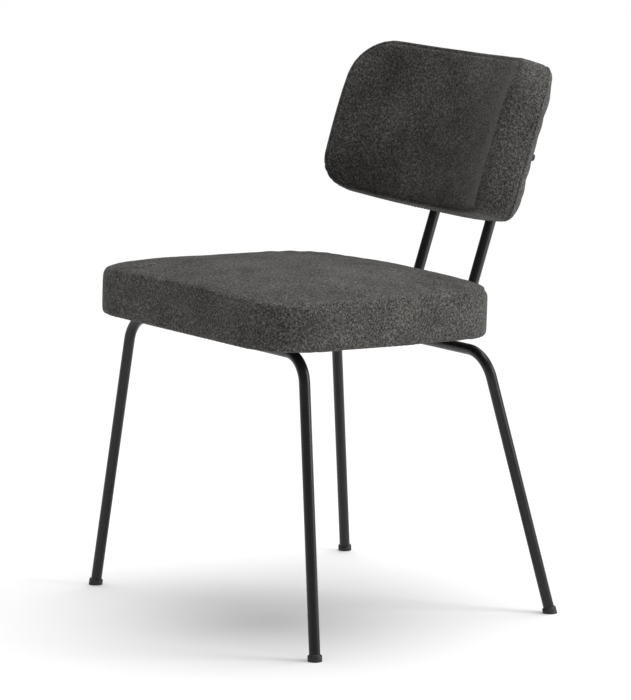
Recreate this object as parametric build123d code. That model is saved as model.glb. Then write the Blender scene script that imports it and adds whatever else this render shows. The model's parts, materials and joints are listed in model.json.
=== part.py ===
from build123d import *
import math
import os

# Upholstered dining chair on a bent steel tube frame. Millimetres and degrees.
# +Z is up, the chair faces -Y and the sitter's left is +X. The origin is on the floor,
# under the middle of the chair.

# Frame tube
tube_radius = 8.0
tube_wall = 1.5
bore_radius = tube_radius - tube_wall
bend_radius = 45.0
weld_gap = 0.05

# The middle of the four feet is ahead of the middle of the whole chair
feet_middle = -28.6

# Leg loops: where a leg's axis meets the floor, how far it moves in per mm of height, and its run
front_foot = (284.0, feet_middle - 222.0)
front_slope = (0.1586, -0.0663)
front_run_height = 417.5
rear_foot = (254.6, feet_middle + 222.0)
rear_slope = (0.1834, 0.1809)
rear_run_height = 382.5

# Glides on the leg ends
glide_radius = 10.3
glide_height = 9.0
glide_stem_length = 22.0
glide_edge = 2.5
stem_chamfer = 1.0
stem_clearance = 0.05

# Back stays: their forward runs rise to the front, then they go up behind the backrest
stay_x = 67.5
stay_lean = 19.5
stay_pass = (feet_middle + 254.6, 560.0)
stay_top_height = 712.0
stay_bend_radius = 40.0
stay_run_tilt = 3.0
plug_height = 3.0
plug_edge = 2.0
plug_stem_length = 14.0

# Seat: a plane that tips back a little, and everything in the seat is built on it
seat_centre = (0.0, feet_middle - 56.0, 421.8)
seat_tilt = 2.0
seat_front_half = 252.0
seat_rear_half = 236.0
seat_half_depth = 208.0
seat_side_bow = 5.0
seat_rear_bow = 6.0
seat_front_corner = 78.0
seat_rear_corner = 86.0
seat_edge_height = 72.0
seat_crown_radius = 3900.0
seat_top_round = 16.0
seat_bottom_round = 6.0

# Layers of the seat and the backrest
cover_thickness = 2.0
layer_gap = 0.2
seat_board_thickness = 12.0
seat_board_inset = 7.0
hem_width = 32.0
dust_cover_thickness = 0.8
dust_cover_inset = 14.0

# What the seat is screwed to: two tabs behind the front run and a bracket across the stays
plate_thickness = 3.0
plate_corner = 6.0
tab_x = 150.0
tab_width = 28.0
tab_start = 5.0
tab_end = 34.0
tab_hole = 20.0
bracket_place = 130.0
bracket_width = 30.0
bracket_half_length = 108.0
bracket_hole_x = 92.0
spacer_radius = 11.0

# Fasteners, all M6
screw_radius = 3.0
screw_hole_radius = 3.4
screw_head_radius = 5.6
screw_head_height = 3.4
screw_head_edge = 1.6
socket_radius = 2.3
socket_depth = 2.0
tip_clearance = 1.0
tee_flange_radius = 9.5
tee_flange_thickness = 1.2
tee_barrel_radius = 3.9
tee_barrel_length = 8.6
thread_clearance = 0.04
fit_clearance = 0.1

# Backrest: a slab bent round an axis in front of it, whose rear face bends round a nearer axis
back_centre = (0.0, feet_middle + 251.0, 674.0)
back_lean = 19.5
back_bend = 355.0
back_front_depth = 32.0
back_rear_depth = 35.2
back_rear_offset = 29.4
back_half_angle = 36.0
back_low = -114.0
back_high = 119.0
back_low_corner = 40.0
back_high_corner = 62.0
back_edge_round = 12.0
back_board_front = 4.0
back_board_rear = 6.0
back_board_inset = 10.0

# Two straps across the stays, and a capped screw in each wing of the backrest
strap_thickness = 4.0
strap_half_height = 11.0
strap_half_angle = 15.4
strap_heights = {"upper": 30.0, "lower": -42.0}
strap_screw_angle = 12.9
wing_screw_angle = 31.5
wing_screw_height = -19.0
washer_radius = 6.8
washer_thickness = 1.0
cap_radius = 5.3
cap_height = 4.2
cap_edge = 3.4
washer_tilt_gap = 0.45
head_tilt_gap = 0.15

seat_lean = math.radians(seat_tilt)
seat_plane = Plane(origin=seat_centre, x_dir=(1, 0, 0), z_dir=(0, math.sin(seat_lean), math.cos(seat_lean)))
lean = math.radians(back_lean)
back_plane = Plane(origin=back_centre, x_dir=(1, 0, 0), z_dir=(0, math.sin(lean), math.cos(lean)))


def upright(radius, length, start=0.0):
    return Pos(0, 0, start) * Cylinder(radius, length, align=(Align.CENTER, Align.CENTER, Align.MIN))


# Frame --------------------------------------------------------------------------------------


def tube_along(points, radius):
    path = FilletPolyline(*points, radius=radius)
    ring = Circle(tube_radius) - Circle(bore_radius)
    return sweep(Plane(origin=path @ 0, z_dir=path % 0) * ring, path=path)


def leg_axis(foot, slope, side):
    """The foot point and the unit direction up the leg, on the side +1 or -1."""
    start = Vector(side * foot[0], foot[1], 0)
    return start, Vector(-side * slope[0], -slope[1], 1).normalized()


def leg_corner(foot, slope, height, side):
    return Vector(side * (foot[0] - slope[0] * height), foot[1] - slope[1] * height, height)


def leg_loop(foot, slope, height):
    """Both legs and the run between them, in one tube that ends on the glides."""
    ends = []
    for side in (1, -1):
        start, direction = leg_axis(foot, slope, side)
        ends.append(start + direction * glide_height)
    corners = [leg_corner(foot, slope, height, side) for side in (1, -1)]
    return tube_along([ends[0], *corners, ends[1]], bend_radius)


def glide(foot, slope, side):
    """A plastic foot: a rounded head under the tube and a stem inside it, cut level with the floor."""
    start, direction = leg_axis(foot, slope, side)
    below_floor = glide_height / 2
    head = upright(glide_radius, glide_height + below_floor)
    head = fillet(head.edges().sort_by(Axis.Z)[-1], glide_edge)
    stem = upright(bore_radius - stem_clearance, glide_stem_length, glide_height + below_floor)
    stem = chamfer(stem.edges().sort_by(Axis.Z)[-1], stem_chamfer)
    placed = Plane(origin=start - direction * below_floor, z_dir=direction).location * (head + stem)
    room_size = 4 * glide_height + 2 * glide_stem_length
    room = Box(room_size, room_size, room_size, align=(Align.CENTER, Align.CENTER, Align.MIN))
    return placed & (Pos(start.X, start.Y, 0) * room)


front_run_y = front_foot[1] - front_slope[1] * front_run_height
rear_run_y = rear_foot[1] - rear_slope[1] * rear_run_height
stay_over_rear = rear_run_height + 2 * tube_radius + weld_gap
rise = math.tan(math.radians(stay_lean))
fall = math.tan(math.radians(stay_run_tilt))


def stay_run_height(y):
    return stay_over_rear - (y - rear_run_y) * fall


def stay_y(z):
    return stay_pass[0] + rise * (z - stay_pass[1])


def back_stay(side):
    """From the front run, back over the rear loop, then up behind the backrest."""
    corner_z = (stay_run_height(0) - fall * stay_y(0)) / (1 + fall * rise)
    points = [
        Vector(side * stay_x, front_run_y, stay_run_height(front_run_y)),
        Vector(side * stay_x, stay_y(corner_z), corner_z),
        Vector(side * stay_x, stay_y(stay_top_height), stay_top_height),
    ]
    stay = tube_along(points, stay_bend_radius)
    run = Rot(0, 90, 0) * Cylinder(tube_radius + weld_gap, 4 * stay_x)
    stay -= Pos(0, front_run_y, front_run_height) * run
    return stay.solids().sort_by(SortBy.VOLUME)[-1]


def stay_end_plug(side):
    """A plastic plug in the open top of a stay."""
    top = Vector(side * stay_x, stay_y(stay_top_height), stay_top_height)
    cap = upright(tube_radius, plug_height)
    cap = fillet(cap.edges().sort_by(Axis.Z)[-1], plug_edge)
    stem = upright(bore_radius - stem_clearance, plug_stem_length, -plug_stem_length)
    return Plane(origin=top, z_dir=Vector(0, rise, 1).normalized()).location * (cap + stem)


# Fasteners ----------------------------------------------------------------------------------


def button_screw(shank, head_radius, head_height, head_edge):
    """Its head hangs below z = 0 and its shank stands above. The socket is in the head."""
    screw = upright(head_radius, head_height, -head_height)
    screw = fillet(screw.edges().sort_by(Axis.Z)[0], head_edge)
    socket = extrude(RegularPolygon(socket_radius, 6), socket_depth)
    return screw + upright(screw_radius, shank) - Pos(0, 0, -head_height) * socket


def tee_nut():
    """Its flange lies on z = 0 and its barrel hangs below."""
    nut = upright(tee_flange_radius, tee_flange_thickness)
    nut += upright(tee_barrel_radius, tee_barrel_length, -tee_barrel_length)
    return nut - upright(screw_radius + thread_clearance, 2 * tee_barrel_length, -1.5 * tee_barrel_length)


def tee_nut_room(length):
    """The pocket and the hole that a board has for a tee nut."""
    room = upright(tee_flange_radius + fit_clearance, length, -fit_clearance)
    return room + upright(tee_barrel_radius + fit_clearance, 2 * length, -2 * length)


# Seat ---------------------------------------------------------------------------------------


def seat_outline(inset):
    """The seat in plan: a trapezoid with bowed sides and rear and rounded corners, drawn inset."""
    front = seat_front_half - inset
    rear = seat_rear_half - inset
    depth = seat_half_depth - inset
    middle = (front + rear) / 2 + seat_side_bow
    edges = [
        Line((-front, -depth), (front, -depth)),
        ThreePointArc((front, -depth), (middle, 0), (rear, depth)),
        ThreePointArc((rear, depth), (0, depth + seat_rear_bow), (-rear, depth)),
        ThreePointArc((-rear, depth), (-middle, 0), (-front, -depth)),
    ]
    face = make_face(edges)
    face = fillet(face.vertices().group_by(Axis.Y)[0], seat_front_corner - inset)
    return fillet(face.vertices().sort_by(Axis.Y)[-2:], seat_rear_corner - inset)


def seat_slab(inset, low, high):
    return Pos(0, 0, low) * extrude(seat_outline(inset), high - low)


def cushion_block(inset, low):
    """The crowned cushion, drawn inset on every side: its top is part of a large sphere."""
    top = seat_edge_height + seat_front_half**2 / (2 * seat_crown_radius) - inset
    block = seat_slab(inset, low, top + inset)
    block = block & (Pos(0, 0, top - seat_crown_radius) * Sphere(seat_crown_radius))
    return fillet(block.faces().sort_by(Axis.Z)[-1].edges(), seat_top_round - inset)


def to_seat(y, z):
    """The place along the seat and the height above its plane of a point in a side view."""
    seen = seat_plane.to_local_coords(Vector(0, y, z))
    return seen.Y, seen.Z


skin = cover_thickness + layer_gap
board_low = skin
board_high = board_low + seat_board_thickness

# The tabs lie under the seat, close behind the front run
run_place, run_height = to_seat(front_run_y, front_run_height)
tab_high = -dust_cover_thickness - layer_gap
tab_low = tab_high - plate_thickness
tab = Box(tab_width, tab_end - tab_start, plate_thickness, align=(Align.CENTER, Align.MIN, Align.MIN))
tab = fillet(tab.edges().filter_by(Axis.Z).group_by(Axis.Y)[-1], plate_corner)
tab = Pos(0, run_place + tab_start, tab_low) * tab
tab -= Pos(0, run_place, run_height) * Rot(0, 90, 0) * Cylinder(tube_radius + weld_gap, 2 * tab_width)
tab -= Pos(0, run_place + tab_hole, 0) * upright(screw_hole_radius, 20, -15)

# The bracket lies on the stays, where their slope brings them highest under it
bracket_edge_y = seat_centre[1] + bracket_place - bracket_width / 2
bracket_low = to_seat(bracket_edge_y, stay_run_height(bracket_edge_y))[1] + tube_radius + 2 * weld_gap
bracket_high = bracket_low + plate_thickness
seat_bracket = Pos(0, bracket_place, bracket_low) * Box(
    2 * bracket_half_length, bracket_width, plate_thickness, align=(Align.CENTER, Align.CENTER, Align.MIN)
)
seat_bracket = fillet(seat_bracket.edges().filter_by(Axis.Z), plate_corner)

spacer = upright(spacer_radius, -dust_cover_thickness - bracket_high) - upright(screw_hole_radius, 20)

# Each fixing: its place in the seat's plane and the height of the face its screw head is under
seat_fixings = [(side * tab_x, run_place + tab_hole, tab_low) for side in (-1, 1)]
seat_fixings += [(side * bracket_hole_x, bracket_place, bracket_low) for side in (-1, 1)]

seat_board = seat_slab(seat_board_inset, board_low, board_high)
seat_dust_cover = seat_slab(dust_cover_inset, -dust_cover_thickness, 0)
seat_screws = []
seat_tee_nuts = []
seat_spacers = []
for x, y, low in seat_fixings:
    shank = board_high - low - tip_clearance
    screw = button_screw(shank, screw_head_radius, screw_head_height, screw_head_edge)
    nut_place = Pos(x, y, board_high - tee_flange_thickness)
    seat_screws.append(Pos(x, y, low) * screw)
    seat_tee_nuts.append(nut_place * tee_nut())
    seat_board -= nut_place * tee_nut_room(seat_board_thickness)
    seat_dust_cover -= Pos(x, y, 0) * upright(screw_hole_radius + 1, 4, -2)
    if low == bracket_low:
        seat_spacers.append(Pos(x, y, bracket_high) * spacer)
        seat_bracket -= Pos(x, y, bracket_low) * upright(screw_hole_radius, 20, -10)

cushion_outer = cushion_block(0, 0)
cushion_outer = fillet(cushion_outer.faces().sort_by(Axis.Z)[0].edges(), seat_bottom_round)
hem_opening = seat_slab(hem_width, -1, cover_thickness + 1)
seat_cover = cushion_outer - cushion_block(cover_thickness, cover_thickness) - hem_opening

seat_foam = cushion_block(skin, board_low)
seat_foam -= seat_slab(seat_board_inset - layer_gap, board_low - 1, board_high + layer_gap)


# Backrest -----------------------------------------------------------------------------------


def bent_slab(front, rear, edge_inset, low, high, half_angle, corners, offsets=(0, 0)):
    """A slab from front to rear of the bend line, its ends radial and its four corners rounded.

    The offsets say how far behind the bend axis its front face and its rear face have theirs.
    """
    inner = Pos(0, offsets[0]) * Circle(back_bend - front - offsets[0])
    outer = Pos(0, offsets[1]) * Circle(back_bend + rear - offsets[1])
    angle = math.radians(half_angle) - edge_inset / back_bend
    reach = 2 * (back_bend + rear)
    wedge = Polygon(
        (0, 0),
        (reach * math.sin(angle), reach * math.cos(angle)),
        (reach * math.sin(angle), reach),
        (-reach * math.sin(angle), reach),
        (-reach * math.sin(angle), reach * math.cos(angle)),
        align=None,
    )
    section = (outer - inner) & wedge
    slab = Pos(0, -back_bend, low) * extrude(section, high - low)
    for group, radius in zip((0, -1), corners):
        lines = slab.edges().filter_by(GeomType.LINE).group_by(Axis.Z)[group]
        slab = fillet(lines, radius)
    return slab


def back_slab(front, rear, inset, offsets=(0, 0)):
    corners = (back_low_corner - inset, back_high_corner - inset)
    low = back_low + inset
    high = back_high - inset
    return bent_slab(front, rear, inset, low, high, back_half_angle, corners, offsets)


def soft_slab(inset):
    """The backrest's outer shape, drawn inset on every side, with its front and rear edges rounded."""
    slab = back_slab(back_front_depth - inset, back_rear_depth - inset, inset, (0, back_rear_offset))
    faces = slab.faces().filter_by(GeomType.CYLINDER).sort_by(SortBy.AREA)[-2:]
    edges = [edge for face in faces for edge in face.edges()]
    return fillet(edges, back_edge_round - inset)


def radial(shape, angle, radius, height):
    """Places a shape that stands on Z so that it points back, away from the bend axis."""
    return Pos(0, -back_bend, height) * Rot(0, 0, -angle) * Pos(0, radius, 0) * Rot(-90, 0, 0) * shape


def rear_reach(depth, angle):
    """How far from the bend axis the rear bend of a depth is, at an angle from the middle."""
    turn = math.radians(angle)
    radius = back_bend + depth - back_rear_offset
    across = back_rear_offset * math.sin(turn)
    return back_rear_offset * math.cos(turn) + math.sqrt(radius**2 - across**2)


stay_behind = (stay_y(back_centre[2]) - back_centre[1]) * math.cos(lean)
rear_axis_to_stay = math.hypot(stay_x, back_bend + stay_behind - back_rear_offset)
strap_outer = rear_axis_to_stay - tube_radius - weld_gap + back_rear_offset - back_bend
strap_inner = strap_outer - strap_thickness
board_front_radius = back_bend - back_board_front

back_straps = {}
for name, height in strap_heights.items():
    low = height - strap_half_height
    high = height + strap_half_height
    corners = (plate_corner, plate_corner)
    offsets = (back_rear_offset, back_rear_offset)
    back_straps[name] = bent_slab(-strap_inner, strap_outer, 0, low, high, strap_half_angle, corners, offsets)

# Screws go in from behind, through the cushion, to tee nuts in the front of the board
strap_head_seat = rear_reach(strap_outer, strap_screw_angle) + head_tilt_gap
screw_length = strap_head_seat - board_front_radius - tip_clearance
strap_screw = button_screw(screw_length, screw_head_radius, screw_head_height, screw_head_edge)
washer_seat = rear_reach(back_rear_depth, wing_screw_angle) + washer_tilt_gap
cap_length = washer_seat + washer_thickness - board_front_radius - tip_clearance
cap_screw = button_screw(cap_length, cap_radius, cap_height, cap_edge)
washer = upright(washer_radius, washer_thickness) - upright(screw_hole_radius, 3, -1)
facing_front = Rot(180, 0, 0)

back_board = back_slab(back_board_front, back_board_rear, back_board_inset)
back_tee_nuts = []
back_screws = []
cap_screws = []
cap_washers = []
screw_room = Part()
nut_seat = board_front_radius + tee_flange_thickness
places = [(side * strap_screw_angle, height) for height in strap_heights.values() for side in (-1, 1)]
places += [(side * wing_screw_angle, wing_screw_height) for side in (-1, 1)]
for angle, height in places:
    back_tee_nuts.append(radial(facing_front * tee_nut(), angle, nut_seat, height))
    nut_room = facing_front * tee_nut_room(back_board_front + back_board_rear)
    back_board -= radial(nut_room, angle, nut_seat, height)
    screw_room += radial(upright(screw_hole_radius, 60), angle, back_bend, height)
    if height == wing_screw_height:
        cap_washers.append(radial(washer, angle, washer_seat, height))
        head_seat = washer_seat + washer_thickness + weld_gap
        cap_screws.append(radial(facing_front * cap_screw, angle, head_seat, height))
    else:
        back_screws.append(radial(facing_front * strap_screw, angle, strap_head_seat, height))
for name in back_straps:
    back_straps[name] -= screw_room

# The cover, and the foam in two halves: the front one takes the board in a pocket
back_cover = soft_slab(0) - soft_slab(cover_thickness) - screw_room
foam_body = soft_slab(skin)
front_half = back_slab(back_front_depth, back_board_rear, 0)
rear_half = back_slab(-back_board_rear - layer_gap, back_rear_depth, 0)
board_pocket = back_slab(back_board_front + layer_gap, back_board_rear, back_board_inset - layer_gap)
back_foam_front = (foam_body & front_half) - board_pocket
back_foam_rear = (foam_body & rear_half) - screw_room


# Writing ------------------------------------------------------------------------------------

nodes = {
    "front_leg_loop": leg_loop(front_foot, front_slope, front_run_height),
    "rear_leg_loop": leg_loop(rear_foot, rear_slope, rear_run_height),
    "back_stay_left": back_stay(1),
    "back_stay_right": back_stay(-1),
    "stay_end_plugs": Compound([stay_end_plug(-1), stay_end_plug(1)]),
}
for name, foot, slope in (("front", front_foot, front_slope), ("rear", rear_foot, rear_slope)):
    nodes[f"glide_{name}_left"] = glide(foot, slope, 1)
    nodes[f"glide_{name}_right"] = glide(foot, slope, -1)

on_seat = {
    "seat_tabs": Compound([Pos(-tab_x, 0, 0) * tab, Pos(tab_x, 0, 0) * tab]),
    "seat_bracket": seat_bracket,
    "seat_spacers": Compound(seat_spacers),
    "seat_screws": Compound(seat_screws),
    "seat_tee_nuts": Compound(seat_tee_nuts),
    "seat_board": seat_board,
    "seat_foam": seat_foam,
    "seat_cover": seat_cover,
    "seat_dust_cover": seat_dust_cover,
}
on_back = {
    "back_strap_upper": back_straps["upper"],
    "back_strap_lower": back_straps["lower"],
    "back_board": back_board,
    "back_tee_nuts": Compound(back_tee_nuts),
    "back_screws": Compound(back_screws),
    "back_cap_screws": Compound(cap_screws),
    "back_cap_washers": Compound(cap_washers),
    "back_foam_front": back_foam_front,
    "back_foam_rear": back_foam_rear,
    "back_cover": back_cover,
}
for name, shape in on_seat.items():
    nodes[name] = seat_plane.location * shape
for name, shape in on_back.items():
    nodes[name] = back_plane.location * shape

os.makedirs("parts", exist_ok=True)
for name, shape in nodes.items():
    export_step(shape, f"parts/{name}.step")
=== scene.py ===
import bmesh
import bpy
import json
import math
import numpy as np
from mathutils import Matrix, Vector, noise
from mathutils.bvhtree import BVHTree


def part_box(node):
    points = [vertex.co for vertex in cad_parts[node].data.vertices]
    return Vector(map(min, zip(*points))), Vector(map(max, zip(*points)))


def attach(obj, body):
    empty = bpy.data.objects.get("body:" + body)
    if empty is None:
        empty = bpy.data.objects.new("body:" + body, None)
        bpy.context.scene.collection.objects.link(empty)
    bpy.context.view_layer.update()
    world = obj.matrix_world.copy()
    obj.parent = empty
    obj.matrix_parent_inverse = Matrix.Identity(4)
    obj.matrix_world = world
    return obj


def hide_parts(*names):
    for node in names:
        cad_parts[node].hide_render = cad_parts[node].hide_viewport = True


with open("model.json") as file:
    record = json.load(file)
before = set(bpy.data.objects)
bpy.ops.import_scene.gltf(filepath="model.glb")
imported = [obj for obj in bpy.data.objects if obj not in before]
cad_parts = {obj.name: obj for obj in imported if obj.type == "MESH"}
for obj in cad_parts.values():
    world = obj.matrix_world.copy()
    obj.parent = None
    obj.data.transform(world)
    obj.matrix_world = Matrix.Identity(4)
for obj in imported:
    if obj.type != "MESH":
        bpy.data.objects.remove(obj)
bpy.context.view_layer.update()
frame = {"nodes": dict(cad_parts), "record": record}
nodes = frame["nodes"]
scene = bpy.context.scene
scene.view_settings.view_transform = "Standard"
mm = 0.001
print("frame loaded:", len(nodes), "pieces")

# where the chair is looked at from: degrees and metres
sight = {
    "azimuth": 54.35,
    "elevation": 9.75,
    "roll": 0.06,
    "distance": 5.482,
    "target": (0, -0.0464, 0.3778),
    "lens": 192.8,
}


def addCamera():
    azimuth = math.radians(sight["azimuth"])
    elevation = math.radians(sight["elevation"])
    level = math.cos(elevation)
    back = Vector((math.sin(azimuth) * level, -math.cos(azimuth) * level, math.sin(elevation)))
    camera = bpy.data.objects.new("camera", bpy.data.cameras.new("camera"))
    scene.collection.objects.link(camera)
    camera.data.lens = sight["lens"]
    camera.location = Vector(sight["target"]) + sight["distance"] * back
    turn = back.to_track_quat("Z", "Y").to_matrix().to_4x4()
    camera.rotation_euler = turn.to_euler()
    camera.rotation_euler.rotate_axis("Z", math.radians(sight["roll"]))
    scene.camera = camera


addCamera()


class Wire:
    # a node's output, so that shader maths can be written as a sum
    def __init__(self, finish, socket):
        self.finish = finish
        self.socket = socket

    def maths(self, operation, first, second):
        return self.finish.node("ShaderNodeMath", {"operation": operation}, {0: first, 1: second})

    def __add__(self, other):
        return self.maths("ADD", self, other)

    def __mul__(self, other):
        return self.maths("MULTIPLY", self, other)

    def __truediv__(self, other):
        return self.maths("DIVIDE", self, other)

    __radd__ = __add__
    __rmul__ = __mul__


class Finish:
    # a material, and the nodes that vary it over the surface
    def __init__(self, name, **uniform):
        self.material = bpy.data.materials.new(name)
        self.material.use_nodes = True
        self.tree = self.material.node_tree
        self.shader = self.tree.nodes["Principled BSDF"]
        for socket, value in uniform.items():
            self.set(socket, value)

    def set(self, socket, value):
        self.feed(self.shader.inputs[socket.replace("_", " ")], value)

    def feed(self, socket, value):
        if isinstance(value, Wire):
            self.tree.links.new(value.socket, socket)
        else:
            socket.default_value = value

    def node(self, kind, settings=None, sockets=None, output=0):
        made = self.tree.nodes.new(kind)
        for key, value in (settings or {}).items():
            if key == "stops":
                self.setStops(made.color_ramp, value)
            else:
                setattr(made, key, value)
        for key, value in (sockets or {}).items():
            self.feed(made.inputs[key], value)
        return Wire(self, made.outputs[output])

    def setStops(self, ramp, stops):
        for _ in stops[2:]:
            ramp.elements.new(0.5)
        for element, (place, colour) in zip(ramp.elements, stops):
            element.position = place
            element.color = colour if len(colour) == 4 else (*colour, 1)

    def place(self):
        return self.node("ShaderNodeTexCoord", output="Object")

    def grain(self, size, detail=2.0, roughness=0.5, stretch=None, turn=None, distortion=0.0):
        # noise whose blotches are about size metres across
        place = self.place()
        if stretch or turn:
            turned = {"Vector": place, "Rotation": turn or (0, 0, 0), "Scale": stretch or (1, 1, 1)}
            place = self.node("ShaderNodeMapping", {"vector_type": "TEXTURE"}, turned)
        sockets = {
            "Vector": place,
            "Scale": 1 / size,
            "Detail": detail,
            "Roughness": roughness,
            "Distortion": distortion,
        }
        return self.node("ShaderNodeTexNoise", None, sockets, "Fac")

    def ramp(self, value, stops, output="Color"):
        return self.node("ShaderNodeValToRGB", {"stops": stops}, {"Fac": value}, output)

    def mixed(self, factor, first, second, blend="MIX"):
        settings = {"data_type": "RGBA", "blend_type": blend}
        colours = [value if isinstance(value, Wire) else (*value, 1)[:4] for value in (first, second)]
        # a colour Mix node keeps its colour sockets at 6 and 7, and its colour output at 2
        return self.node("ShaderNodeMix", settings, {0: factor, 6: colours[0], 7: colours[1]}, 2)

    def bump(self, height, depth, strength=1.0, under=None):
        sockets = {"Height": height, "Distance": depth, "Strength": strength}
        if under:
            sockets["Normal"] = under
        return self.node("ShaderNodeBump", None, sockets, "Normal")


feltLook = {
    "dark": (0.015, 0.0145, 0.0136),
    "body": (0.066, 0.0636, 0.060),
    "pale": (0.165, 0.160, 0.152),
    "blotch": 2.9 * mm,
    "fleck": 1.9 * mm,
    "fibre": 0.8 * mm,
    "cloud": 85 * mm,
    "nap": 0.9 * mm,
}


def woolFelt():
    felt = Finish("woolFelt", Roughness=0.95, Specular_IOR_Level=0.1)
    felt.set("Sheen Weight", 0.05)
    felt.set("Sheen Roughness", 0.4)
    blotch = felt.grain(feltLook["blotch"], 3, 0.6)
    fleck = felt.grain(feltLook["fleck"], 3, 0.7, distortion=0.6)
    cloud = felt.grain(feltLook["cloud"], 4, 0.62)
    tones = [(0.32, feltLook["dark"]), (0.50, feltLook["body"]), (0.70, feltLook["pale"])]
    colour = felt.ramp(blotch, tones)
    # short pale fibres that lie three ways through the felt
    strands = []
    for tilt in (0.4, 1.5, 2.6):
        strand = felt.grain(feltLook["fibre"], 1, 0.4, (1, 5, 1), (tilt, 0.7 * tilt, 1.3 * tilt))
        strands.append(felt.ramp(strand, [(0.60, (0, 0, 0)), (0.74, (1, 1, 1))]))
    for strand in strands:
        colour = felt.mixed(strand * 0.42, colour, feltLook["pale"])
    flecks = [(0.33, (0.48, 0.48, 0.48)), (0.50, (0.95, 0.95, 0.95)), (0.70, (1.58, 1.58, 1.56))]
    shade = felt.ramp(fleck, flecks)
    colour = felt.mixed(1.0, colour, shade, "MULTIPLY")
    drift = felt.ramp(cloud, [(0.32, (0.74, 0.74, 0.75)), (0.68, (1.26, 1.255, 1.25))])
    felt.set("Base Color", felt.mixed(1.0, colour, drift, "MULTIPLY"))
    height = blotch * 0.6 + fleck * 0.55 + strands[0] * 0.12 + strands[1] * 0.12
    felt.set("Normal", felt.bump(height, feltLook["nap"]))
    return felt.material


coatLook = {
    "paint": (0.006, 0.006, 0.0063),
    "dust": (0.014, 0.0138, 0.0135),
    "peel": 0.9 * mm,
    "mottle": 30 * mm,
}


def powderCoat():
    coat = Finish("powderCoat", Specular_IOR_Level=0.36)
    peel = coat.grain(coatLook["peel"], 2, 0.5)
    mottle = coat.grain(coatLook["mottle"], 3, 0.6)
    coat.set("Base Color", coat.mixed(mottle * 0.5, coatLook["paint"], coatLook["dust"]))
    coat.set("Roughness", 0.22 + mottle * 0.12 + peel * 0.06)
    coat.set("Normal", coat.bump(peel, 0.06 * mm, 0.6))
    return coat.material


nylonLook = {
    "body": (0.017, 0.017, 0.018),
    "worn": (0.075, 0.072, 0.068),
    "wornHeight": 2.2 * mm,
    "pore": 0.5 * mm,
}


def mouldedNylon():
    nylon = Finish("mouldedNylon", Specular_IOR_Level=0.45)
    pore = nylon.grain(nylonLook["pore"], 2, 0.6)
    scuff = nylon.grain(3 * mm, 4, 0.7)
    height = nylon.node("ShaderNodeSeparateXYZ", None, {0: nylon.place()}, "Z")
    low = nylon.ramp(height / nylonLook["wornHeight"], [(0.0, (1, 1, 1)), (0.9, (0, 0, 0))])
    worn = low * scuff
    nylon.set("Base Color", nylon.mixed(worn, nylonLook["body"], nylonLook["worn"]))
    nylon.set("Roughness", 0.46 + pore * 0.1 + worn * 0.3)
    nylon.set("Normal", nylon.bump(pore + scuff * 0.3, 0.08 * mm, 0.7))
    return nylon.material


def blackOxide():
    oxide = Finish("blackOxide", Metallic=0.85)
    patch = oxide.grain(1.6 * mm, 3, 0.6)
    oxide.set("Base Color", oxide.mixed(patch, (0.020, 0.020, 0.022), (0.075, 0.073, 0.072)))
    oxide.set("Roughness", 0.30 + patch * 0.22)
    oxide.set("Normal", oxide.bump(patch, 0.03 * mm, 0.5))
    return oxide.material


def zincPlate():
    zinc = Finish("zincPlate", Metallic=1.0)
    brushed = zinc.grain(0.5 * mm, 2, 0.6, (1, 1, 9))
    spangle = zinc.grain(4 * mm, 2, 0.5)
    zinc.set("Base Color", zinc.mixed(spangle, (0.52, 0.53, 0.54), (0.70, 0.69, 0.66)))
    zinc.set("Roughness", 0.28 + brushed * 0.2)
    zinc.set("Normal", zinc.bump(brushed, 0.03 * mm, 0.6))
    return zinc.material


plyLook = {"pale": (0.62, 0.46, 0.29), "dark": (0.36, 0.22, 0.11)}


def birchPly():
    ply = Finish("birchPly", Specular_IOR_Level=0.3)
    grain = ply.grain(2.4 * mm, 4, 0.6, (14, 1, 1), distortion=0.5)
    figure = ply.grain(28 * mm, 2, 0.5, (5, 1, 1), distortion=1.2)
    ring = ply.ramp(grain * 0.5 + figure * 0.5, [(0.35, (0, 0, 0)), (0.65, (1, 1, 1))])
    ply.set("Base Color", ply.mixed(ring, plyLook["pale"], plyLook["dark"]))
    ply.set("Roughness", 0.55 + grain * 0.2)
    ply.set("Normal", ply.bump(grain, 0.15 * mm, 0.7))
    return ply.material


def dustFleece():
    # spun fleece with rows of small weld dots
    fleece = Finish("dustFleece", Specular_IOR_Level=0.25, Sheen_Weight=0.2)
    fibre = fleece.grain(0.7 * mm, 2, 0.6, (1, 4, 1), (0, 0, 0.5))
    cell = {"Vector": fleece.place(), "Scale": 1 / (2.2 * mm), "Randomness": 0.15}
    dot = fleece.node("ShaderNodeTexVoronoi", None, cell, "Distance")
    pressed = fleece.ramp(dot, [(0.18, (0, 0, 0)), (0.34, (1, 1, 1))])
    fleece.set("Base Color", fleece.mixed(fibre * pressed, (0.012, 0.012, 0.013), (0.050, 0.049, 0.050)))
    fleece.set("Roughness", 0.72 + fibre * 0.2)
    fleece.set("Normal", fleece.bump(pressed + fibre * 0.6, 0.2 * mm, 0.8))
    return fleece.material


def softRubber():
    rubber = Finish("softRubber", Specular_IOR_Level=0.35)
    bloom = rubber.grain(1.5 * mm, 3, 0.6)
    rubber.set("Base Color", rubber.mixed(bloom, (0.014, 0.014, 0.014), (0.035, 0.034, 0.033)))
    rubber.set("Roughness", 0.6 + bloom * 0.2)
    rubber.set("Normal", rubber.bump(bloom, 0.05 * mm, 0.6))
    return rubber.material


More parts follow.
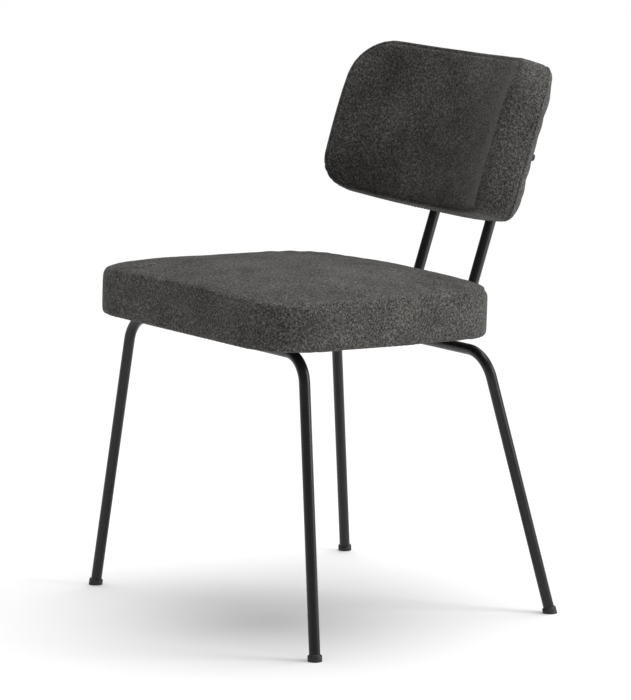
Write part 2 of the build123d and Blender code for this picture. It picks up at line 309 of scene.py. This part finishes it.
def sewingThread():
    thread = Finish("sewingThread", Specular_IOR_Level=0.4, Sheen_Weight=0.3)
    twist = thread.grain(0.35 * mm, 1, 0.5, (1, 3, 1), (0.6, 0.3, 0))
    thread.set("Base Color", thread.mixed(twist, (0.016, 0.016, 0.016), (0.060, 0.059, 0.057)))
    thread.set("Roughness", 0.6 + twist * 0.2)
    thread.set("Normal", thread.bump(twist, 0.08 * mm, 0.8))
    return thread.material


finishes = {
    "frame_paint": powderCoat(),
    "glide_plastic": mouldedNylon(),
    "wool_felt": woolFelt(),
    "foam": woolFelt(),
    "plywood": birchPly(),
    "screw_black": blackOxide(),
    "screw_zinc": zincPlate(),
    "dust_cloth": dustFleece(),
    "spacer_rubber": softRubber(),
    "thread": sewingThread(),
}
for part in frame["record"]["subparts"]:
    mesh = nodes[part["node"]].data
    mesh.materials.clear()
    mesh.materials.append(finishes[part["material_slot"]])
print("finishes made:", len(finishes))


def readPoints(mesh):
    flat = np.empty(3 * len(mesh.vertices))
    mesh.vertices.foreach_get("co", flat)
    return flat.reshape(-1, 3)


def writePoints(mesh, points):
    mesh.vertices.foreach_set("co", points.ravel())
    mesh.update()


def readNormals(mesh):
    flat = np.empty(3 * len(mesh.vertices))
    mesh.vertex_normals.foreach_get("vector", flat)
    return flat.reshape(-1, 3)


def newPiece(name, mesh, slot):
    piece = bpy.data.objects.new(name, mesh)
    scene.collection.objects.link(piece)
    mesh.materials.clear()
    mesh.materials.append(finishes[slot])
    mesh.polygons.foreach_set("use_smooth", [True] * len(mesh.polygons))
    return piece


def addPiece(name, shape, slot):
    # a finished bmesh becomes a piece of the chair
    mesh = bpy.data.meshes.new(name)
    bmesh.ops.recalc_face_normals(shape, faces=shape.faces)
    shape.to_mesh(mesh)
    shape.free()
    piece = newPiece(name, mesh, slot)
    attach(piece, "root")
    return piece


def applied(piece, kind, **settings):
    # adds a modifier, and keeps what it makes
    modifier = piece.modifiers.new(kind, kind)
    for key, value in settings.items():
        setattr(modifier, key, value)
    made = bpy.data.meshes.new_from_object(piece.evaluated_get(bpy.context.evaluated_depsgraph_get()))
    piece.modifiers.clear()
    piece.data = made


def hullOf(name, points):
    shape = bmesh.new()
    for point in points:
        shape.verts.new(point)
    made = bmesh.ops.convex_hull(shape, input=shape.verts)
    spare = {item for key in ("geom_interior", "geom_unused") for item in made[key]}
    inner = [item for item in spare if isinstance(item, bmesh.types.BMVert)]
    bmesh.ops.delete(shape, geom=inner, context="VERTS")
    mesh = bpy.data.meshes.new(name)
    shape.to_mesh(mesh)
    shape.free()
    return mesh


cloth = {"mass": 0.4, "stiffness": 12, "bending": 1.5, "pressure": 4, "frames": 20}


def swell(piece, held, caps):
    # the cover is blown up like a filled cushion: held where it is sewn, and never past its cap
    start = readPoints(piece.data)
    group = piece.vertex_groups.new(name="held")
    for index in np.flatnonzero(held > 0.02):
        group.add([int(index)], float(held[index]), "REPLACE")
    modifier = piece.modifiers.new("cover", "CLOTH")
    settings = modifier.settings
    settings.quality = 6
    settings.mass = cloth["mass"]
    settings.tension_stiffness = cloth["stiffness"]
    settings.compression_stiffness = cloth["stiffness"]
    settings.shear_stiffness = cloth["stiffness"] / 3
    settings.bending_stiffness = cloth["bending"]
    settings.use_pressure = True
    settings.uniform_pressure_force = cloth["pressure"]
    settings.vertex_group_mass = "held"
    settings.pin_stiffness = 1
    settings.effector_weights.gravity = 0
    modifier.collision_settings.use_collision = False
    modifier.collision_settings.use_self_collision = False
    for step in range(1, cloth["frames"] + 1):
        scene.frame_set(step)
    blown = piece.evaluated_get(bpy.context.evaluated_depsgraph_get()).to_mesh()
    moved = readPoints(blown) - start
    piece.modifiers.clear()
    scene.frame_set(1)
    length = np.linalg.norm(moved, axis=1) + 1e-9
    kept = caps * np.tanh(length / caps) / length
    writePoints(piece.data, start + moved * kept[:, None])
    print("swelled", piece.name, "by up to", round(float((length * kept).max() / mm), 1), "mm")


def ease(value, low, high):
    step = np.clip((value - low) / (high - low), 0, 1)
    return step * step * (3 - 2 * step)


def wander(points, size, seed):
    # slow random unevenness, from -1 to 1
    shift = Vector((seed, 2 * seed, 3 * seed))
    return np.array([noise.noise(Vector(point) / size + shift) for point in points])


def outsideBy(across, up, outline):
    # how far a point is outside the outline, negative inside it
    middle = (outline["high"] + outline["low"]) / 2
    half = (outline["high"] - outline["low"]) / 2
    corner = np.where(up > middle, outline["highCorner"], outline["lowCorner"])
    a = np.abs(across) - outline["half"] + corner
    b = np.abs(up - middle) - half + corner
    return np.minimum(np.maximum(a, b), 0) + np.hypot(np.maximum(a, 0), np.maximum(b, 0)) - corner


def outlinePath(outline, inset, step):
    # points evenly along the outline, drawn inset
    corners = []
    for side, level, turn in ((1, "high", 0), (-1, "high", 90), (-1, "low", 180), (1, "low", 270)):
        radius = outline[level + "Corner"]
        x = side * (outline["half"] - radius)
        y = outline[level] + (-radius if level == "high" else radius)
        for part in range(17):
            angle = math.radians(turn + 90 * part / 16)
            reach = radius - inset
            corners.append((x + reach * math.cos(angle), y + reach * math.sin(angle)))
    corners = np.array(corners + corners[:1])
    lengths = np.concatenate([[0], np.cumsum(np.linalg.norm(np.diff(corners, axis=0), axis=1))])
    count = int(round(lengths[-1] / step))
    along = np.arange(count) * lengths[-1] / count
    return np.stack([np.interp(along, lengths, corners[:, axis]) for axis in (0, 1)], axis=1)


def tube(shape, path, radii, around=8, closed=False):
    # a round bar along a path, with a radius for each of its points
    path = [Vector(point) for point in path]
    count = len(path)
    rings = []
    side = None
    for index, point in enumerate(path):
        after = path[(index + 1) % count] if closed or index < count - 1 else point
        before = path[index - 1] if closed or index > 0 else point
        along = (after - before).normalized()
        if side is None:
            side = along.orthogonal().normalized()
        side = (side - along * side.dot(along)).normalized()
        other = along.cross(side)
        radius = float(radii[index]) if hasattr(radii, "__len__") else radii
        ring = []
        for part in range(around):
            angle = 2 * math.pi * part / around
            spoke = math.cos(angle) * side + math.sin(angle) * other
            ring.append(shape.verts.new(point + radius * spoke))
        rings.append(ring)
    pairs = list(zip(rings, rings[1:])) + ([(rings[-1], rings[0])] if closed else [])
    for first, second in pairs:
        for part in range(around):
            shape.faces.new((first[part], first[part - 1], second[part - 1], second[part]))
    if not closed:
        shape.faces.new(rings[0])
        shape.faces.new(rings[-1][::-1])


stitchLook = {
    "length": 4.4 * mm,
    "gap": 1.7 * mm,
    "radius": 0.5 * mm,
    "sink": 0.6 * mm,
    "fromSeam": 3.2 * mm,
    "shown": 0.55,
    "plump": (0.7, 1, 1, 1, 0.7),
}


def stitchRow(shape, surface, path):
    # one row of stitches laid on a cushion: each rises out of the felt and dives back in
    count = len(path)
    share = stitchLook["length"] / (stitchLook["length"] + stitchLook["gap"])
    for index in range(count):
        start, end = Vector(path[index]), Vector(path[(index + 1) % count])
        arch = []
        for along in (0, 0.25, 0.5, 0.75, 1):
            spot, normal, _, _ = surface.find_nearest(start.lerp(end, along * share))
            rise = stitchLook["radius"] * stitchLook["shown"] - stitchLook["sink"] * (2 * along - 1) ** 4
            arch.append(spot + normal * rise)
        radii = [stitchLook["radius"] * size for size in stitchLook["plump"]]
        tube(shape, arch, radii, 6)


def surfaceOf(piece):
    return BVHTree.FromPolygons(
        [v.co for v in piece.data.vertices], [tuple(p.vertices) for p in piece.data.polygons]
    )


# the seat cushion, in the plane of the seat: x across, y to the rear, z up from its underside
seat = {
    "tilt": 2.0,
    "frontHalf": 252 * mm,
    "rearHalf": 236 * mm,
    "bow": 5 * mm,
    "depth": 208 * mm,
    "dustThickness": 0.8 * mm,
    "rearBow": 6 * mm,
    "outline": {
        "half": 249 * mm,
        "low": -208 * mm,
        "high": 212 * mm,
        "lowCorner": 78 * mm,
        "highCorner": 86 * mm,
    },
    "cell": 5 * mm,
    "shrunk": (0.994, 0.994, 0.99),
    "smoothing": {"factor": 0.5, "iterations": 4},
    "wrap": 3.6 * mm,
    "fullness": 1.2 * mm,
    "rearFullness": 1.4 * mm,
    "seamHeight": 63 * mm,
    "seamOut": -1.5 * mm,
    "seamHeld": (3 * mm, 8 * mm),
    "boardHeld": (4 * mm, 14 * mm),
    "topBand": (55 * mm, 70 * mm),
    "topCap": 8 * mm,
    "sideCap": 4 * mm,
}

seatDressing = {
    "grooveWidth": 3.2 * mm,
    "groove": 1.2 * mm,
    "rearGroove": 1.2 * mm,
    "grooveBand": (-60 * mm, 120 * mm),
    "pucker": 0.4 * mm,
    "puckerSize": 11 * mm,
    "puckerSeed": 3.7,
    "puckerFade": 12 * mm,
    "soft": 0.9 * mm,
    "softSize": 90 * mm,
    "softSeed": 1.3,
    "softBand": (20 * mm, 70 * mm),
    "pleat": 0.35 * mm,
    "pleats": 150,
    "pleatHeight": (0.5 * mm, 3 * mm),
    "pleatReach": (-30 * mm, -4 * mm),
    "fullBand": (45 * mm, 75 * mm),
    "wrapReach": (-12 * mm, -3 * mm),
    "wrapHeight": (5 * mm, 40 * mm),
}


def seatCentre():
    # the dust cover is flat under the cushion, so its box says where the seat's plane is
    low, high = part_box("seat_dust_cover")
    middle = (low + high) / 2
    tilt = math.radians(seat["tilt"])
    ahead = seat["rearBow"] / 2
    lift = seat["dustThickness"] / 2
    return np.array([0, middle.y - ahead * math.cos(tilt) + lift * math.sin(tilt),
                     middle.z + ahead * math.sin(tilt) + lift * math.cos(tilt)])


def axesAt(lean):
    # rows are the cushion's own x, y and z in the chair's frame
    sine, cosine = math.sin(math.radians(lean)), math.cos(math.radians(lean))
    return np.array([[1, 0, 0], [0, cosine, -sine], [0, sine, cosine]])


seatOrigin = seatCentre()
seatAxes = axesAt(seat["tilt"])


def toSeat(points):
    return (points - seatOrigin) @ seatAxes.T


def fromSeat(points):
    return points @ seatAxes + seatOrigin


def squareSeat(points):
    # x as it would be if the seat were as wide at the rear as at the front
    along = (points[:, 1] + seat["depth"]) / (2 * seat["depth"])
    half = seat["frontHalf"] + (seat["rearHalf"] - seat["frontHalf"]) * along
    half = half + seat["bow"] * (1 - (points[:, 1] / seat["depth"]) ** 2)
    return points[:, 0] * seat["outline"]["half"] / half


def seatSeam(points):
    # how far out each point is, and how far from the sewn edge
    outside = outsideBy(squareSeat(points), points[:, 1], seat["outline"])
    return outside, np.hypot(outside - seat["seamOut"], points[:, 2] - seat["seamHeight"])


def makeSeatCushion():
    points = toSeat(readPoints(nodes["seat_cover"].data))
    floor = points[:, 2].min()
    points = points * np.array(seat["shrunk"]) + [0, 0, floor * (1 - seat["shrunk"][2])]
    cushion = newPiece("seatCushion", hullOf("seatCushion", points), "wool_felt")
    applied(cushion, "REMESH", mode="VOXEL", voxel_size=seat["cell"])
    applied(cushion, "SMOOTH", **seat["smoothing"])
    points = readPoints(cushion.data)
    _, toSeam = seatSeam(points)
    seam = 1 - ease(toSeam, *seat["seamHeld"])
    board = 1 - ease(points[:, 2], *seat["boardHeld"])
    top = ease(points[:, 2], *seat["topBand"])
    caps = seat["sideCap"] + (seat["topCap"] - seat["sideCap"]) * top
    swell(cushion, np.maximum(seam, board), caps)
    applied(cushion, "SUBSURF", levels=1, render_levels=1)
    dressSeat(cushion)
    return cushion


def dressSeat(cushion):
    # the sewn edge between top and border, and the unevenness of soft foam
    mesh = cushion.data
    points = readPoints(mesh)
    normals = readNormals(mesh)
    outside, toSeam = seatSeam(points)
    look = seatDressing
    rearward = ease(points[:, 1], *look["grooveBand"])
    sewn = look["groove"] + look["rearGroove"] * rearward
    groove = sewn * np.exp(-((toSeam / look["grooveWidth"]) ** 2))
    fade = np.exp(-toSeam / look["puckerFade"])
    pucker = look["pucker"] * fade * wander(points, look["puckerSize"], look["puckerSeed"])
    soft = look["soft"] * wander(points, look["softSize"], look["softSeed"])
    soft = soft * ease(points[:, 2], *look["softBand"])
    turn = np.arctan2(points[:, 1], points[:, 0])
    tucked = (1 - ease(points[:, 2], *look["pleatHeight"])) * ease(outside, *look["pleatReach"])
    pleat = look["pleat"] * np.sin(turn * look["pleats"]) * tucked
    points = points + normals * (pucker + soft + pleat - groove)[:, None]
    points[:, 2] = np.maximum(points[:, 2], 0.0)
    full = seat["fullness"] + seat["rearFullness"] * ease(points[:, 1], 0.0, seat["depth"])
    points[:, 2] += full * ease(points[:, 2], *look["fullBand"])
    # the filled edge hangs a little lower than the board
    low = 1 - ease(points[:, 2], *look["wrapHeight"])
    points[:, 2] -= seat["wrap"] * ease(outside, *look["wrapReach"]) * low
    writePoints(mesh, fromSeat(points))


seatCushion = makeSeatCushion()
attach(seatCushion, "root")
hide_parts("seat_cover", "seat_foam")
print("seat cushion made:", len(seatCushion.data.polygons), "faces")


# the backrest, unrolled flat: x along its curve, y from front to rear, z up
back = {
    "lean": 19.5,
    "bend": 355 * mm,
    "boardRear": 6 * mm,
    "boardLow": -104 * mm,
    "outline": {
        "half": 223 * mm,
        "low": -114 * mm,
        "high": 119 * mm,
        "lowCorner": 40 * mm,
        "highCorner": 62 * mm,
    },
    "boardHigh": 109 * mm,
    "cell": 4.5 * mm,
    "stretched": (1.012, 0.992),
    "frontRound": 12 * mm,
    "rearRound": 15 * mm,
    "frontDepth": 26.2 * mm,
    "rearDepth": 35.2 * mm,
    "rearOffset": 29.4 * mm,
    "rearShare": 1.10,
    "ringStep": 6 * mm,
    "wingDrop": 2.9 * mm,
    "tilt": 2.2 * mm,
    "wingFront": 7 * mm,
    "topBow": 8.5 * mm,
    "sideBow": 5.5 * mm,
    "lowBow": 3 * mm,
    "strapDepth": 35.4 * mm,
    "strapHalf": 98 * mm,
    "washer": (195.2 * mm, 31.0 * mm, -19 * mm),
    "frontSeam": (-5 * mm, -23.5 * mm),
    "rearSeam": (-0.5 * mm, 20.5 * mm),
    "seamHeld": (3 * mm, 7 * mm),
    "faceBand": (18 * mm, 25 * mm),
    "rearBand": (24 * mm, 28 * mm),
    "faceCap": 9 * mm,
    "rearCap": 3 * mm,
    "sideCap": 3.5 * mm,
}

backDressing = {
    "frontGroove": 3.2 * mm,
    "frontWidth": 3.0 * mm,
    "rearGroove": 3.0 * mm,
    "rearWidth": 2.8 * mm,
    "pucker": 0.4 * mm,
    "puckerSize": 9 * mm,
    "puckerSeed": 5.1,
    "puckerFade": 9 * mm,
    "soft": 0.5 * mm,
    "softSize": 80 * mm,
    "softSeed": 2.2,
    "creases": (-0.35, -0.62, -0.95, -1.2),
    "crease": 1.1 * mm,
    "creaseWidth": 1.9 * mm,
    "creaseReach": (-16 * mm, -5 * mm),
    "creaseDepth": (-18 * mm, -2 * mm),
    "strapBlend": 25 * mm,
    "strapFree": 4 * mm,
    "dimpleReach": (7 * mm, 16 * mm),
    "dimple": 3.6 * mm,
    "rearFrom": 10 * mm,
    "dropBand": (-42 * mm, -6 * mm),
    "wingAcross": (0.55, 1.0),
    "wingUp": (0.15, 0.95),
    "wingDepth": (-20 * mm, 12 * mm),
}


def backCentre():
    # the board's rear is on the bend at the middle, which sets the box's rear and lowest faces
    low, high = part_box("back_board")
    lean = math.radians(back["lean"])
    y = high.y - back["boardRear"] * math.cos(lean) - back["boardHigh"] * math.sin(lean)
    z = low.z + back["boardRear"] * math.sin(lean) - back["boardLow"] * math.cos(lean)
    return np.array([0, y, z])


backOrigin = backCentre()
backAxes = axesAt(back["lean"])
print("seat plane at", np.round(seatOrigin / mm, 2), "backrest bend at", np.round(backOrigin / mm, 2))


def fromBack(points):
    angle = points[:, 0] / back["bend"]
    radius = back["bend"] + points[:, 1]
    x = radius * np.sin(angle)
    y = radius * np.cos(angle) - back["bend"]
    local = np.stack([x, y, points[:, 2]], axis=1)
    return local @ backAxes + backOrigin


def bowBack(points):
    # the sewn outline isn't straight: its top crowns and its sides belly out
    across = points[:, 0] / back["outline"]["half"]
    up = points[:, 2] / back["outline"]["high"]
    out = points.copy()
    out[:, 2] += np.where(up > 0, back["topBow"], -back["lowBow"]) * (1 - across**2) * np.abs(up)
    out[:, 0] += back["sideBow"] * (1 - up**2) * across
    out[:, 2] -= back["wingDrop"] * ease(points[:, 1], *backDressing["dropBand"]) * across**2
    out[:, 2] -= back["tilt"] * across
    # below its upper corners each wing is filled further forward
    wing = ease(np.abs(across), *backDressing["wingAcross"]) * (1 - ease(up, *backDressing["wingUp"]))
    out[:, 1] -= back["wingFront"] * wing * (1 - ease(points[:, 1], *backDressing["wingDepth"]))
    return out


def seamDistances(points):
    outside = outsideBy(points[:, 0], points[:, 2], back["outline"])
    front, rear = back["frontSeam"], back["rearSeam"]
    toFront = np.hypot(outside - front[0], points[:, 1] - front[1])
    toRear = np.hypot(outside - rear[0], points[:, 1] - rear[1])
    return outside, toFront, toRear


def rearDepthAt(x):
    # the rear bends round an axis nearer to it, so it comes forward in the wings
    turn = x / back["bend"]
    offset = back["rearOffset"]
    radius = back["bend"] + back["rearDepth"] - offset
    return offset * np.cos(turn) + np.sqrt(radius**2 - (offset * np.sin(turn)) ** 2) - back["bend"]


def backShell():
    # rings round the outline, from its middle over the rounded edges to both faces
    rings = []
    for step in range(7):
        turn = math.pi / 2 * step / 6
        for edge in ("front", "rear"):
            inset = back[edge + "Round"] * (1 - math.cos(turn))
            rise = back[edge + "Round"] * (1 - math.sin(turn))
            path = outlinePath(back["outline"], inset, back["ringStep"])
            x = path[:, 0] * back["stretched"][0]
            z = path[:, 1] * back["stretched"][1]
            depth = rearDepthAt(x) * back["rearShare"] - rise
            if edge == "front":
                depth = np.full(len(x), rise - back["frontDepth"])
            rings.append(np.stack([x, depth, z], axis=1))
    return np.concatenate(rings)


def makeBackCushion():
    cushion = newPiece("backCushion", hullOf("backCushion", backShell()), "wool_felt")
    applied(cushion, "REMESH", mode="VOXEL", voxel_size=back["cell"])
    points = readPoints(cushion.data)
    _, toFront, toRear = seamDistances(points)
    held = 1 - ease(np.minimum(toFront, toRear), *back["seamHeld"])
    side = back["sideCap"]
    caps = side + (back["faceCap"] - side) * ease(-points[:, 1], *back["faceBand"])
    caps += (back["rearCap"] - side) * ease(points[:, 1], *back["rearBand"])
    swell(cushion, held, caps)
    applied(cushion, "SUBSURF", levels=1, render_levels=1)
    dressBack(cushion)
    return cushion


def dressBack(cushion):
    mesh = cushion.data
    points = readPoints(mesh)
    normals = readNormals(mesh)
    outside, toFront, toRear = seamDistances(points)
    look = backDressing
    groove = look["frontGroove"] * np.exp(-((toFront / look["frontWidth"]) ** 2))
    groove = groove + look["rearGroove"] * np.exp(-((toRear / look["rearWidth"]) ** 2))
    fade = np.exp(-np.minimum(toFront, toRear) / look["puckerFade"])
    pucker = look["pucker"] * fade * wander(points, look["puckerSize"], look["puckerSeed"])
    soft = look["soft"] * wander(points, look["softSize"], look["softSeed"])
    points = points + normals * (pucker + soft - groove - creaseDepth(points, outside))[:, None]
    points = bowBack(points)
    pressBack(points)
    writePoints(mesh, fromBack(points))


def creaseDepth(points, outside):
    # short creases fan out of the lower corners, where the face's felt is eased round the bend
    outline = back["outline"]
    corner = outline["lowCorner"]
    across = np.abs(points[:, 0]) - outline["half"] + corner
    up = points[:, 2] - outline["low"] - corner
    turn = np.arctan2(up, across)
    reach = np.hypot(across, up)
    depth = np.zeros(len(points))
    look = backDressing
    for place in look["creases"]:
        aside = reach * np.sin(turn - place)
        depth += np.exp(-((aside / look["creaseWidth"]) ** 2)) * (np.cos(turn - place) > 0)
    faded = ease(outside, *look["creaseReach"]) * (1 - ease(points[:, 1], *look["creaseDepth"]))
    return look["crease"] * depth * faded


def pressBack(points):
    # the rear lies flat against the straps, and each wing screw's washer presses into it
    look = backDressing
    free = ease(np.abs(points[:, 0]), back["strapHalf"], back["strapHalf"] + look["strapBlend"])
    limit = back["strapDepth"] + look["strapFree"] * free
    points[:, 1] = np.minimum(points[:, 1], limit)
    x, depth, z = back["washer"]
    away = np.hypot(np.abs(points[:, 0]) - x, points[:, 2] - z)
    dimple = depth + look["dimple"] * ease(away, *look["dimpleReach"])
    rear = (points[:, 1] > look["rearFrom"]) & (away < look["dimpleReach"][1])
    points[rear, 1] = np.minimum(points[rear, 1], dimple[rear])


backCushion = makeBackCushion()
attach(backCushion, "root")
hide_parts("back_cover", "back_foam_front", "back_foam_rear")
print("back cushion made:", len(backCushion.data.polygons), "faces")


def makeBackStitches():
    surface = surfaceOf(backCushion)
    shape = bmesh.new()
    step = stitchLook["length"] + stitchLook["gap"]
    for away in (-stitchLook["fromSeam"], stitchLook["fromSeam"]):
        path = outlinePath(back["outline"], -back["rearSeam"][0], step)
        flat = np.stack([path[:, 0], np.full(len(path), back["rearSeam"][1] + away), path[:, 1]], axis=1)
        stitchRow(shape, surface, fromBack(bowBack(flat)))
    return addPiece("backStitches", shape, "thread")


makeBackStitches()


# the dust cover: thin fleece stretched under the seat and stapled to its board
dust = {
    "inset": 14 * mm,
    "thickness": 0.5 * mm,
    "cell": 9 * mm,
    "rings": 22,
    "gap": 0.1 * mm,
    "sag": 0.5 * mm,
    "wave": 0.15 * mm,
    "waveSize": 40 * mm,
}


def makeDustCover():
    shape = bmesh.new()
    path = outlinePath(seat["outline"], dust["inset"], dust["cell"])
    rings = []
    for step in range(dust["rings"]):
        share = 1 - step / dust["rings"]
        ring = []
        for x, y in path * share:
            wide = squareSeat(np.array([[1.0, y, 0]]))[0]
            wave = dust["wave"] * noise.noise(Vector((x, y, 0)) / dust["waveSize"])
            sag = dust["sag"] * (1 - share**2) + wave
            ring.append(shape.verts.new((x / wide, y, -dust["gap"] - abs(sag))))
        rings.append(ring)
    for outer, inner in zip(rings, rings[1:]):
        for index in range(len(outer)):
            shape.faces.new((outer[index - 1], outer[index], inner[index], inner[index - 1]))
    middle = shape.verts.new((0, 0, -dust["gap"] - dust["sag"]))
    for index in range(len(rings[-1])):
        shape.faces.new((rings[-1][index - 1], rings[-1][index], middle))
    cover = addPiece("dustCover", shape, "dust_cloth")
    writePoints(cover.data, fromSeat(readPoints(cover.data)))
    applied(cover, "SOLIDIFY", thickness=dust["thickness"], offset=0)
    return cover


dustCover = makeDustCover()
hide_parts("seat_dust_cover")
print("dust cover made")

stapleLook = {"width": 10 * mm, "wire": 0.45 * mm, "pitch": 38 * mm, "inset": 19 * mm}


def makeStaples():
    # flat-crown staples round the dust cover's edge
    shape = bmesh.new()
    path = outlinePath(seat["outline"], stapleLook["inset"], stapleLook["pitch"])
    count = len(path)
    for index in range(count):
        x, y = path[index]
        along = path[(index + 1) % count] - path[index - 1]
        along = along / np.linalg.norm(along)
        x = x / squareSeat(np.array([[1.0, y, 0]]))[0]
        half = stapleLook["width"] / 2
        profile = [(-1, 0.5), (-1, -0.6), (-0.9, -0.95), (0.9, -0.95), (1, -0.6), (1, 0.5)]
        bend = [(x + along[0] * half * a, y + along[1] * half * a, b * mm) for a, b in profile]
        tube(shape, fromSeat(np.array(bend)), stapleLook["wire"], 6)
    return addPiece("dustStaples", shape, "screw_zinc")


makeStaples()


# welds: a rippled bead wherever two pieces of the frame meet
weldLook = {
    "radius": 1.9 * mm,
    "ripple": 0.35 * mm,
    "pitch": 1.8 * mm,
    "saddle": (1.04, 0.96),
    "restAside": 5.0 * mm,
    "restLength": 10 * mm,
    "restLift": 0.6 * mm,
    "strapLength": 18 * mm,
    "strapAside": 4.4 * mm,
    "strapIn": 1.45 * mm,
    "strapLift": 0.7 * mm,
}
tubeRadius = 8 * mm
strapBend = {"radius": 365.15 * mm, "centre": -325.6 * mm}


def weldBead(shape, corners, closed=False):
    corners = [np.array(corner, float) for corner in corners]
    loop = corners + corners[:1] if closed else corners
    steps = [np.linalg.norm(b - a) for a, b in zip(loop, loop[1:])]
    lengths = np.concatenate([[0], np.cumsum(steps)])
    count = max(6, int(lengths[-1] / (weldLook["pitch"] / 3)))
    along = np.linspace(0, lengths[-1], count + (not closed), endpoint=not closed)
    path = np.stack([np.interp(along, lengths, [c[axis] for c in loop]) for axis in range(3)], axis=1)
    wave = np.abs(np.sin(along / weldLook["pitch"] * math.pi))
    radii = weldLook["radius"] - weldLook["ripple"] * wave
    if not closed:
        ends = np.minimum(along, lengths[-1] - along) / weldLook["radius"]
        radii = radii * np.sqrt(np.clip(ends, 0.08, 1))
    tube(shape, path, list(radii), 8, closed)


def addWelds():
    # a saddle where each stay meets the front loop, and two beads where it rests on the rear one
    shape = bmesh.new()
    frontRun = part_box("front_leg_loop")[1] - Vector((0, tubeRadius, tubeRadius))
    rearLow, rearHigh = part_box("rear_leg_loop")
    rearRun = Vector((0, rearLow.y + tubeRadius, rearHigh.z - tubeRadius))
    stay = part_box("back_stay_left")[1].x - tubeRadius
    wide, low = weldLook["saddle"]
    half = weldLook["restLength"] / 2
    for side in (-1, 1):
        x = side * stay
        saddle = []
        for part in range(24):
            angle = 2 * math.pi * part / 24
            out = tubeRadius * math.cos(angle)
            high = low * tubeRadius * math.sin(angle)
            reach = math.sqrt((tubeRadius * wide) ** 2 - high**2)
            saddle.append((x + out, frontRun.y + reach, frontRun.z + high))
        weldBead(shape, saddle, True)
        for aside in (-1, 1):
            rest = x + aside * weldLook["restAside"]
            level = rearRun.z + tubeRadius + weldLook["restLift"]
            weldBead(shape, [(rest, rearRun.y - half, level), (rest, rearRun.y + half, level)])
    return addPiece("runWelds", shape, "frame_paint")


def addStrapWelds():
    # a bead down each side of a stay, on both straps
    shape = bmesh.new()
    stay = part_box("back_stay_left")[1].x - tubeRadius
    half = weldLook["strapLength"] / 2
    for name in ("back_strap_upper", "back_strap_lower"):
        low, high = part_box(name)
        middle = toBackLocal((low + high) / 2)[2]
        for side in (-1, 1):
            for aside in (-1, 1):
                x = side * (stay - weldLook["strapIn"]) + aside * weldLook["strapAside"]
                depth = strapRear(x) + weldLook["strapLift"]
                ends = [(x, depth, middle - half), (x, depth, middle + half)]
                weldBead(shape, [np.array(end) @ backAxes + backOrigin for end in ends])
    return addPiece("strapWelds", shape, "frame_paint")


def toBackLocal(point):
    return backAxes @ (np.array(point) - backOrigin)


def strapRear(x):
    return strapBend["centre"] + math.sqrt(strapBend["radius"] ** 2 - x**2)


addWelds()
addStrapWelds()

floorLook = {"size": 60, "colour": (0.80, 0.80, 0.80), "glow": 0.13}


def makeFloor():
    mesh = bpy.data.meshes.new("floor")
    half = floorLook["size"] / 2
    corners = [(-half, -half, 0), (half, -half, 0), (half, half, 0), (-half, half, 0)]
    mesh.from_pydata(corners, [], [(0, 1, 2, 3)])
    floor = bpy.data.objects.new("floor", mesh)
    scene.collection.objects.link(floor)
    paper = Finish("paperFloor", Roughness=0.9, Specular_IOR_Level=0.1)
    paper.set("Emission Strength", floorLook["glow"])
    paper.set("Emission Color", (1, 1, 1, 1))
    tooth = paper.grain(0.4, 2, 0.5)
    pale = floorLook["colour"]
    paper.set("Base Color", paper.mixed(tooth, pale, [1.01 * value for value in pale]))
    mesh.materials.append(paper.material)


makeFloor()

# a softbox at the chair's left, and a weak one behind it
lamps = {
    "leftSide": {"size": (0.7, 1.6), "power": 30, "place": (1.8, 1.5, 1.1), "aim": (0, -0.1, 0.4)},
    "rearEdge": {"size": (1.2, 1.6), "power": 10, "place": (0.9, 2.6, 1.5), "aim": (0, 0.2, 0.6)},
}


def addLamp(name, look):
    lamp = bpy.data.lights.new(name, "AREA")
    lamp.shape = "RECTANGLE"
    lamp.size, lamp.size_y = look["size"]
    lamp.energy = look["power"]
    holder = bpy.data.objects.new(name, lamp)
    scene.collection.objects.link(holder)
    holder.location = look["place"]
    away = Vector(look["place"]) - Vector(look["aim"])
    holder.rotation_euler = away.to_track_quat("Z", "Y").to_euler()


for name, look in lamps.items():
    addLamp(name, look)

overheadLook = {"strength": 2.8, "spread": 62, "lean": (-12, -6)}


def addOverhead():
    # a very broad even light from above, so that the floor is equally pale all over
    lamp = bpy.data.lights.new("overhead", "SUN")
    lamp.energy = overheadLook["strength"]
    lamp.angle = math.radians(overheadLook["spread"])
    holder = bpy.data.objects.new("overhead", lamp)
    scene.collection.objects.link(holder)
    holder.rotation_euler = [math.radians(turn) for turn in (*overheadLook["lean"], 0)]


addOverhead()


worldLook = {"fill": 0.23, "colour": (1, 1, 1, 1)}


def makeWorld():
    world = bpy.data.worlds.new("studio")
    scene.world = world
    world.use_nodes = True
    tree = world.node_tree
    soft = tree.nodes["Background"]
    soft.inputs["Strength"].default_value = worldLook["fill"]
    soft.inputs["Color"].default_value = worldLook["colour"]
    # the backdrop itself is white, and lights the chair no more than the soft fill does
    plain = tree.nodes.new("ShaderNodeBackground")
    plain.inputs["Color"].default_value = worldLook["colour"]
    ray = tree.nodes.new("ShaderNodeLightPath")
    choice = tree.nodes.new("ShaderNodeMixShader")
    tree.links.new(ray.outputs["Is Camera Ray"], choice.inputs[0])
    tree.links.new(soft.outputs[0], choice.inputs[1])
    tree.links.new(plain.outputs[0], choice.inputs[2])
    tree.links.new(choice.outputs[0], tree.nodes["World Output"].inputs["Surface"])


makeWorld()
print("stage lit")
